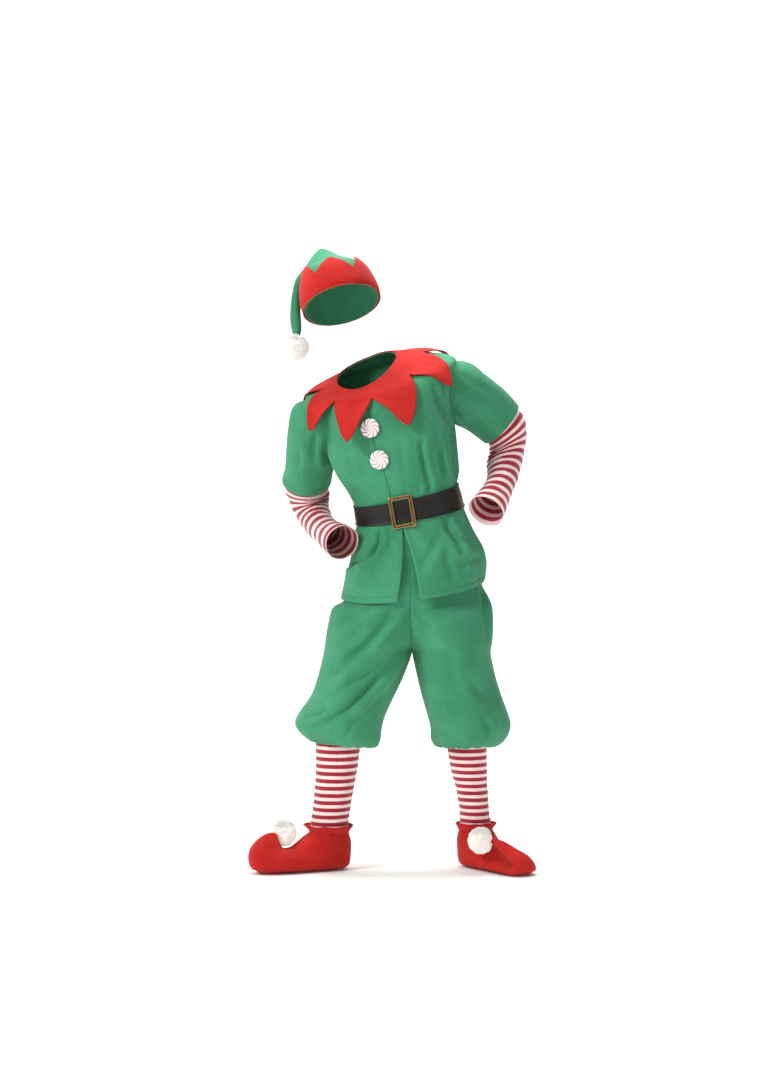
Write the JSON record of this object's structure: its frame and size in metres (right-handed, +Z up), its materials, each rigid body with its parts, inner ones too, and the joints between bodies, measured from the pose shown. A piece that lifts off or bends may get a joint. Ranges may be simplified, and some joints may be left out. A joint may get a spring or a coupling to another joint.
{
  "type": "elf costume",
  "caption": "Child's elf costume in its worn shape: drooping hat, petal collar, belted tunic over striped sleeves, baggy breeches, striped stockings and curled-toe boot covers.",
  "frame": {"origin": "centre of the neck opening, where the wearer's neck leaves the tunic", "axes": "+Z up along the standing wearer, -Y towards the front, +X towards the wearer's left"},
  "size_m": [0.5945, 0.2787, 1.308],
  "materials": {
    "green_cloth": "matt cotton blend",
    "red_felt": "matt felt",
    "striped_knit": "matt knit, crimson and pale rings",
    "white_plush": "fluffy",
    "faux_leather": "soft sheen",
    "buckle_metal": "antique, worn edges",
    "mint_disc": "glossy, red swirl"
  },
  "bodies": {
    "root": {"hat_crown": "green_cloth", "tunic_front_left": "green_cloth", "tunic_front_right": "green_cloth", "tunic_back": "green_cloth", "sleeve_right": "green_cloth", "sleeve_left": "green_cloth", "pants_front_right": "green_cloth", "pants_front_left": "green_cloth", "pants_back_right": "green_cloth", "pants_back_left": "green_cloth", "hat_cuff": "red_felt", "collar": "red_felt", "shoe_right_sole": "red_felt", "shoe_right_inner": "red_felt", "shoe_right_outer": "red_felt", "shoe_left_sole": "red_felt", "shoe_left_inner": "red_felt", "shoe_left_outer": "red_felt", "striped_sleeve_right": "striped_knit", "striped_sleeve_left": "striped_knit", "stocking_right": "striped_knit", "stocking_left": "striped_knit", "hat_pompom": "white_plush", "shoe_right_pompom": "white_plush", "shoe_left_pompom": "white_plush", "belt_strap": "faux_leather", "belt_buckle": "buckle_metal", "button_upper": "mint_disc", "button_lower": "mint_disc"}
  },
  "joints": []
}
